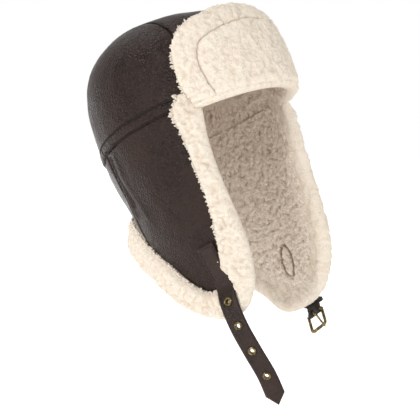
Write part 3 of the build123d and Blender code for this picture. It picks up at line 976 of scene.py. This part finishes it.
class Ribbon:
    """A strap's own surface in (across, along)."""

    def __init__(self, path):
        self.path = np.array(path, float)
        self.side = np.sign(self.path[0, 0])
        self.at = lengths(self.path[:, :3])

    def frame(self, along):
        """Middle, across, outward and down vectors at lengths along the strap."""
        read = hermite(self.at, self.path, along)
        ahead, behind = (hermite(self.at, self.path, along + d)[:, :3] for d in (0.5, -0.5))
        down = unit(world(*ahead.T) - world(*behind.T))
        turn = np.radians(read[:, 3])
        across = world(self.side * np.sin(turn), np.cos(turn), 0 * turn) - CENTRE
        across = unit(across - down * (across * down).sum(axis=1)[:, None])
        return world(*read[:, :3].T), across, self.side * np.cross(down, across), down

    def surface(self, p, out):
        middle, across, outward, _ = self.frame(p[:, 1])
        return middle + p[:, :1] * across + np.asarray(out)[:, None] * outward


def circle(x, y, radius, count=20):
    at = np.linspace(0, 2 * pi, count, endpoint=False)
    return np.c_[x + radius * np.cos(at), y + radius * np.sin(at)]


def stitches(name, surface, line, pitch, length, thick, out):
    """Short raised threads along a line."""
    line = curve(line, 0.5)
    along = lengths(line)
    arch = out + thick * (np.sin(np.linspace(0, pi, 5)) - 0.45)
    threads = []
    for start in np.arange(pitch / 2, along[-1] - length, pitch):
        at = start + np.linspace(0, length, 5)
        flat = np.c_[np.interp(at, along, line[:, 0]), np.interp(at, along, line[:, 1])]
        middle = surface(flat, arch)
        outward = surface(flat[:1], [out + 1]) - surface(flat[:1], [out])
        side = np.cross(unit(middle[-1] - middle[0]), outward)
        threads.append(tube(middle, side, outward, thick, thick, 6, square=1))
    return make_object(name, *joined(threads), THREAD_AND_SEAM_SHADE)


def revolved(name, middle, axis, profile, count=32):
    """Brass rings turned about an axis; profile is a closed loop of (radius, along) in mm."""
    at = np.arange(count)[:, None, None] * 2 * pi / count
    radius, along = np.array(profile).T[..., None]
    faces = [f[::-1] for f in ring_faces(count, len(profile), True)]
    rings = []
    for centre_point, up in zip(middle, axis):
        side = unit(np.cross(up, UP))
        turned = np.cos(at) * side + np.sin(at) * np.cross(up, side)
        rings.append(((centre_point + radius * turned + along * up).reshape(-1, 3), faces))
    return make_object(name, *joined(rings), BRASS)


def strap_relief(patch, *waves):
    """Unevenness of a strap's face, from noise of (height, size, seed)."""
    rough = sum(height * swell(patch.base, size, seed) for height, size, seed in waves)
    return rough * smoothstep(0, 3, patch.depth)


def over_hinge(thing, ribbon, start, end, above, below, *nodes):
    """Hide the CAD nodes a strap stands in for, and bake its place into its mesh."""
    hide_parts(*nodes)
    start, end = ribbon.frame(np.array([start, end]))[0] * MM
    tuple(start)
    tuple(end)
    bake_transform(thing)


def chin_strap():
    """The strap with its brass eyelets and the sewing at its upper end."""
    ribbon = Ribbon(STRAP_PATH)
    end = ribbon.at[-1]
    half = STRAP_W / 2
    eyelets = [ribbon.at[i] for i in EYELET_STATIONS]
    right = [(half, 0), (half, end / 2), (half, end - 11)]
    left = [(-half, end - 11), (-half, end / 2), (-half, 0)]
    sides = [right, [right[-1], (0.5, end)], [(0.5, end), left[0]], left, [left[-1], right[0]]]
    holes = [circle(0, at, 2.5) for at in eyelets]
    strokes, levels = [(line, 1.2) for line in sides], (STRAP_T / 2, -STRAP_T / 2)
    patch = Patch(ribbon.surface, strokes, 1.5, levels, holes, seed=141)
    relief = strap_relief(patch, (0.22, 9, 142), (0.1, 4, 143))
    strap = make_object("chin_strap_hide", *patch.solid(relief, relief * 0), STRAP_HIDE)
    hinge = ribbon.at[3]
    over_hinge(strap, ribbon, hinge - 4, hinge + 6, "right_flap", "strap", "chin_strap", "strap_sewn_end")
    middle, _, outward, _ = ribbon.frame(np.array(eyelets))
    face = STRAP_T / 2
    ring = [(2.1, -face - 0.2), (2.1, face + 0.5), (2.35, face + 0.95), (2.9, face + 1.2), (3.5, face + 1.05),
            (3.95, face + 0.6), (4.05, face + 0.15), (2.55, face + 0.1), (2.5, -face - 0.2)]
    attach(revolved("eyelet_rings", middle, outward, ring), "antique_brass", "strap", "strap_eyelets")
    washer = [(2.1, -face - 0.15), (3.6, -face - 0.1), (4.0, -face - 0.35), (3.8, -face - 0.75),
              (2.9, -face - 1.0), (2.2, -face - 0.8)]
    washers = revolved("eyelet_backs", middle, outward, washer[::-1])
    attach(washers, "antique_brass", "strap", "eyelet_washers")
    box_at = [(-half + 2, 34), (-half + 2, 3), (half - 2, 3), (half - 2, 34)]
    for i, (a, b) in enumerate(zip(box_at[:-1], box_at[1:])):
        row = stitches(f"strap_stitches_{i + 1}", ribbon.surface, [a, b], 3.0, 2.1, 0.55, face + 0.1)
        attach(row, "strap_leather", "right_flap")


class BucklePlane:
    """The buckle's own directions: across to the back, up the tab, and outward."""

    def __init__(self):
        ribbon = Ribbon(TAB_PATH)
        middle, across, outward, down = ribbon.frame(ribbon.at[-1:])
        self.origin, self.across, self.up, self.out = middle[0], across[0], -down[0], outward[0]

    def place(self, x, y, z):
        x, y, z = np.broadcast_arrays(np.asarray(x, float), y, z)
        return self.origin + x[..., None] * self.across + y[..., None] * self.up + z[..., None] * self.out


BUCKLE_SIDE, BUCKLE_LOW, BUCKLE_CORNER = 11.3, -16.9, 3.0
BAR_R = 1.4


def buckle():
    """Cast frame with its bar, and the prong that turns on the bar."""
    plane = BucklePlane()
    arc = np.linspace(0, pi / 2, 7)
    corner = np.c_[BUCKLE_SIDE - BUCKLE_CORNER + BUCKLE_CORNER * np.cos(arc),
                   BUCKLE_LOW + BUCKLE_CORNER - BUCKLE_CORNER * np.sin(arc)]
    down = np.c_[np.full(7, BUCKLE_SIDE), np.linspace(0.6, BUCKLE_LOW + BUCKLE_CORNER, 8)[:-1]]
    half = np.vstack([down, corner])
    flat_half = BUCKLE_SIDE - BUCKLE_CORNER
    base = np.c_[np.linspace(flat_half, -flat_half, 9)[1:-1], np.full(7, BUCKLE_LOW)]
    path = np.vstack([half, base, (half * (-1, 1))[::-1]])
    points = plane.place(path[:, 0], path[:, 1], 0)
    ahead = unit(np.gradient(path, axis=0))
    side = plane.place(-ahead[:, 1], ahead[:, 0], 0) - plane.origin
    worn = 1 + 0.07 * swell(points, 3.5, 161)
    loop = tube(points, side, plane.out, 3.3 * worn, 2.6 * worn, 14)
    at = np.linspace(-BUCKLE_SIDE, BUCKLE_SIDE, 9)
    bar = tube(plane.place(at, 0, 0), plane.up, plane.out, 2 * BAR_R, 2 * BAR_R, 14)
    loop_and_bar = make_object("buckle_brass", *joined([loop, bar]), BRASS)
    lift = radians(24)
    along = plane.out * sin(lift) - plane.up * cos(lift)
    over = np.cross(plane.across, along)
    run = np.array([2.0, 4, 7, 10, 13, 15.5, 16.6, 17.1])
    taper = np.array([2.1, 2.1, 2.0, 1.9, 1.75, 1.5, 1.0, 0.3])
    pin = tube(plane.origin + run[:, None] * along - over * (0.02 * run**1.6)[:, None],
               plane.across, over, taper, taper, 12)
    turn = np.linspace(0, 2 * pi, 25)[:-1]
    ring = plane.origin + 2.05 * (np.cos(turn)[:, None] * plane.up + np.sin(turn)[:, None] * plane.out)
    eye = tube(ring, plane.across, unit(ring - plane.origin), 3.2, 1.1, 10, closed=True)
    prong = make_object("prong_brass", *joined([pin, eye]), BRASS)
    for thing, node, body in ((loop_and_bar, "buckle_frame", "buckle"), (prong, "buckle_prong", "prong")):
        attach(thing, "antique_brass", body, node)


def keeper(ribbon):
    """Leather loop round the tab."""
    wide, deep, corner = TAB_W / 2 + 1.1, (TAB_T + 3.0) / 2 + 1.1, 1.5
    arc = np.linspace(0, pi / 2, 5)
    quarter = np.c_[wide - corner + corner * np.cos(arc), deep - corner + corner * np.sin(arc)]
    loop = np.vstack([quarter, (quarter * (-1, 1))[::-1], -quarter, (quarter * (1, -1))[::-1]])
    middle, across, outward, down = (v[0] for v in ribbon.frame(ribbon.at[5:6]))
    points = middle + loop[:, :1] * across + (loop[:, 1:] + 1.5) * outward
    over = unit(np.cross(around(points), down))
    ring = make_object("keeper_hide", *tube(points, down, over, 4.0, 1.3, 12, True), TAB_HIDE)
    attach(ring, "strap_leather", "tab", "keeper_loop")


def stray_threads(ribbon):
    """Loose ends of sewing thread at the tab's rear edge."""
    rng = np.random.default_rng(171)
    strands = []
    for along in (11.0, 14.0, 15.5, 21.0, 23.5, 30.0):
        middle, across, outward, down = (v[0] for v in ribbon.frame(ribbon.at[3:4] + along - 10))
        t = np.linspace(0, 1, 7)[:, None]
        way = across * rng.uniform(1.5, 3.0) + down * rng.uniform(-1, 2) + outward * rng.uniform(-1.2, 1.2)
        points = middle + across * (TAB_W / 2 - 0.3) + way * t + down * rng.uniform(-1.5, 1.5) * t * t
        strands.append(tube(points, down, outward, 0.38 - 0.1 * t[:, 0], 0.34, 6))
    attach(make_object("tab_threads", *joined(strands), THREAD_AND_SEAM_SHADE), "strap_leather", "tab")


def buckle_tab():
    """Folded leather tab that holds the buckle's bar, with its keeper."""
    ribbon = Ribbon(TAB_PATH)
    end, half = ribbon.at[-1], TAB_W / 2
    low, slot_half, slot_top = end + 2.9, 1.7, end - 3.6
    right, left = [(half, 0), (half, end / 2), (half, low)], [(-half, low), (-half, end / 2), (-half, 0)]
    notch = [(half, low), (slot_half, low), (slot_half, slot_top), (-slot_half, slot_top), (-slot_half, low),
             (-half, low)]
    sides = [right, *zip(notch[:-1], notch[1:]), left, [left[-1], right[0]]]
    patch = Patch(ribbon.surface, [(line, 1.3) for line in sides], 1.2, (TAB_T / 2, -TAB_T / 2), seed=151)
    swollen = np.exp(-((patch.flat[:, 1] - end) / 2.6) ** 2)
    patch.front, patch.back = TAB_T / 2 + 1.3 * swollen, -TAB_T / 2 - 1.3 * swollen
    relief = strap_relief(patch, (0.25, 7, 152), (0.12, 3, 153))
    tab = make_object("tab_hide", *patch.solid(relief, -relief), TAB_HIDE)
    hinge = ribbon.at[3] - 2.6
    over_hinge(tab, ribbon, hinge - 3, hinge + 4, "left_flap", "tab", "buckle_tab", "tab_sewn_end")
    keeper(ribbon)
    stray_threads(ribbon)


def band_seam_shadows():
    """Painted shadow along the band's two edges, all round: dark tubes in the seams."""
    for name, below in (("band_top_seam_shadow", 0.0), ("band_low_seam_shadow", BAND_DEPTH)):
        line = band_line(CENTRE_BACK - pi * ROUND, CENTRE_BACK + pi * ROUND, below, 41)
        seam_shadow_cord(name, wall(RIGHT_SIDE), line, 1.3, -0.2)


def band_stitches():
    """Sewing just above the band's upper edge, all round."""
    line = np.array(band_line(-154, 462, -1.6)[:-1])
    attach(stitches("band_stitches", wall(RIGHT_SIDE), line, 3.4, 2.2, 0.6, 0.15), "leather", "hat")


def build():
    for side in (RIGHT_SIDE, LEFT_SIDE):
        side_skin(side)
        lining(side)
    trim(RIGHT_SIDE, STRAP_PATH[2:6], STRAP_W / 2 + 1, STRAP_T)
    trim(LEFT_SIDE, TAB_PATH[2:6], TAB_W / 2 + 1, TAB_T)
    nape_skin()
    band_skin()
    crown()
    crown_lining()
    brow_roll()
    front_flap()
    band_seam_shadows()
    band_stitches()
    chin_strap()
    buckle_tab()
    buckle()


build()


# ---------- camera, light and floor
AZIMUTH, ELEVATION, DISTANCE = radians(-54), radians(4.5), 1.5
IMAGE_MM = 420.0                              # width of the view at the hat, in mm
AIM_RIGHT, AIM_UP = 0.016, -0.045             # where the view's middle lies from the head mount
toward = Vector((sin(AZIMUTH) * cos(ELEVATION), -cos(AZIMUTH) * cos(ELEVATION), sin(ELEVATION)))

camera = bpy.data.objects.new("camera", bpy.data.cameras.new("camera"))
bpy.context.scene.collection.objects.link(camera)
camera.data.lens = camera.data.sensor_width * DISTANCE * 1000 / IMAGE_MM
camera.data.shift_x, camera.data.shift_y = AIM_RIGHT * 1000 / IMAGE_MM, AIM_UP * 1000 / IMAGE_MM
camera.location = toward * DISTANCE
camera.rotation_euler = toward.to_track_quat("Z", "Y").to_euler()
bpy.context.scene.camera = camera


def area_light(name, place, size, watts):
    lamp = bpy.data.lights.new(name, "AREA")
    lamp.shape, lamp.energy = "RECTANGLE", watts
    lamp.size, lamp.size_y = size
    thing = bpy.data.objects.new(name, lamp)
    thing.location = place
    thing.rotation_euler = Vector(place).to_track_quat("Z", "Y").to_euler()
    bpy.context.scene.collection.objects.link(thing)


area_light("key", (-1.74, -0.14, 0.42), (0.2, 0.9), 13)
area_light("front", (0.1, -1.9, 1.1), (1.2, 1.2), 11)
area_light("top", (-0.3, 0.85, 1.5), (0.25, 0.25), 7)

world_light = bpy.data.worlds.new("studio")
bpy.context.scene.world = world_light
world_light.use_nodes = True
sky = world_light.node_tree
SKY_LIGHT, BACKDROP = 0.68, 1.0               # the backdrop looks whiter than the light it gives
bright = sky.nodes.new("ShaderNodeMapRange")
bright.inputs["To Min"].default_value, bright.inputs["To Max"].default_value = SKY_LIGHT, BACKDROP
sky.links.new(sky.nodes.new("ShaderNodeLightPath").outputs["Is Camera Ray"], bright.inputs["Value"])
sky.links.new(bright.outputs["Result"], sky.nodes["Background"].inputs["Strength"])
sky.nodes["Background"].inputs["Color"].default_value = (1, 1, 1, 1)
bpy.context.scene.view_settings.view_transform = "Standard"

FLOOR_DROP, FLOOR_SIZE, FLOOR_GLOW = 0.02, 6.0, 0.55
floor_mesh = bpy.data.meshes.new("floor")
half_floor, floor_z = FLOOR_SIZE / 2, cad_box[0].z - FLOOR_DROP
corners = [(x * half_floor, y * half_floor, floor_z) for x, y in ((-1, -1), (1, -1), (1, 1), (-1, 1))]
floor_mesh.from_pydata(corners, [], [(0, 1, 2, 3)])
floor = bpy.data.objects.new("floor", floor_mesh)
bpy.context.scene.collection.objects.link(floor)
floor_finish = Finish("floor", (0.95, 0.95, 0.95), 0.8)
floor_finish.put(floor_finish.shader, Emission_Color=(1, 1, 1, 1), Emission_Strength=FLOOR_GLOW)
floor_mesh.materials.append(floor_finish.material)
floor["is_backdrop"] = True

low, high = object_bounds()
{"cad": [list(c) for c in cad_box], "visual": [list(low), list(high)]}
